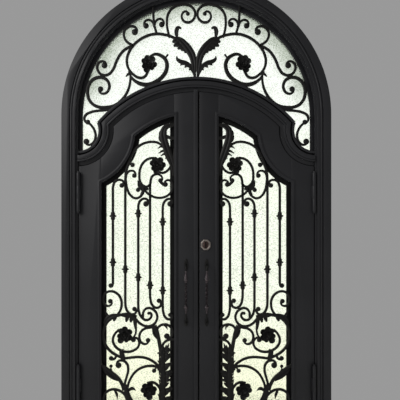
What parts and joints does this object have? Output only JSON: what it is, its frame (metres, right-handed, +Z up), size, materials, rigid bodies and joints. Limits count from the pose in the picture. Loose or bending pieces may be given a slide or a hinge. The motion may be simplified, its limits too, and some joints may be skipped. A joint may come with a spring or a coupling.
{
  "type": "wrought iron double entry door with arched transom",
  "caption": "Round-headed double entry door in a deep frame: two outward-opening glazed leaves and a transom, all screened with scrolled ironwork.",
  "frame": {"origin": "middle of the sill's underside, on the floor, halfway through the frame's depth", "axes": "+X to the right seen from outside, +Y indoors, +Z up"},
  "size_m": [1.83, 0.187, 3.1928],
  "materials": {
    "painted_steel": "charcoal black satin powder coat",
    "ironwork": "near-black painted forged iron",
    "glass": "textured privacy glass, pale green",
    "handle_bronze": "oil-rubbed dark bronze",
    "lock_bronze": "dull aged bronze"
  },
  "bodies": {
    "frame": {"left_jamb": "painted_steel", "right_jamb": "painted_steel", "arch_head": "painted_steel", "sill": "painted_steel", "transom_bar": "painted_steel", "head_stop": "painted_steel", "left_stop": "painted_steel", "right_stop": "painted_steel", "transom_sash": "painted_steel", "transom_glass": "glass", "transom_scrolls_left": "ironwork", "transom_scrolls_right": "ironwork", "transom_acanthus": "ironwork", "transom_roses": "ironwork", "left_frame_hinges": "painted_steel", "right_frame_hinges": "painted_steel"},
    "left_leaf": {"left_hinge_stile": "painted_steel", "left_meeting_stile": "painted_steel", "left_top_rail": "painted_steel", "left_bottom_rail": "painted_steel", "left_opening_moulding": "painted_steel", "left_glass_sash": "painted_steel", "left_door_glass": "glass", "left_grille": "ironwork", "left_grille_roses": "ironwork", "left_upper_acanthus": "ironwork", "left_lower_acanthus": "ironwork", "left_hinge_knuckles": "painted_steel", "left_pull_handle": "handle_bronze", "astragal": "painted_steel"},
    "right_leaf": {"right_hinge_stile": "painted_steel", "right_meeting_stile": "painted_steel", "right_top_rail": "painted_steel", "right_bottom_rail": "painted_steel", "right_opening_moulding": "painted_steel", "right_glass_sash": "painted_steel", "right_door_glass": "glass", "right_grille": "ironwork", "right_grille_roses": "ironwork", "right_upper_acanthus": "ironwork", "right_lower_acanthus": "ironwork", "right_hinge_knuckles": "painted_steel", "right_pull_handle": "handle_bronze", "lock_cylinder": "lock_bronze"}
  },
  "joints": [
    {"name": "left_leaf_hinge", "type": "hinge", "parent": "frame", "child": "left_leaf", "pos_m": [-0.803, -0.062, 0], "axis": [0, 0, -1], "range_deg": [0, 100]},
    {"name": "right_leaf_hinge", "type": "hinge", "parent": "frame", "child": "right_leaf", "pos_m": [0.803, -0.062, 0], "axis": [0, 0, 1], "range_deg": [0, 100]}
  ]
}
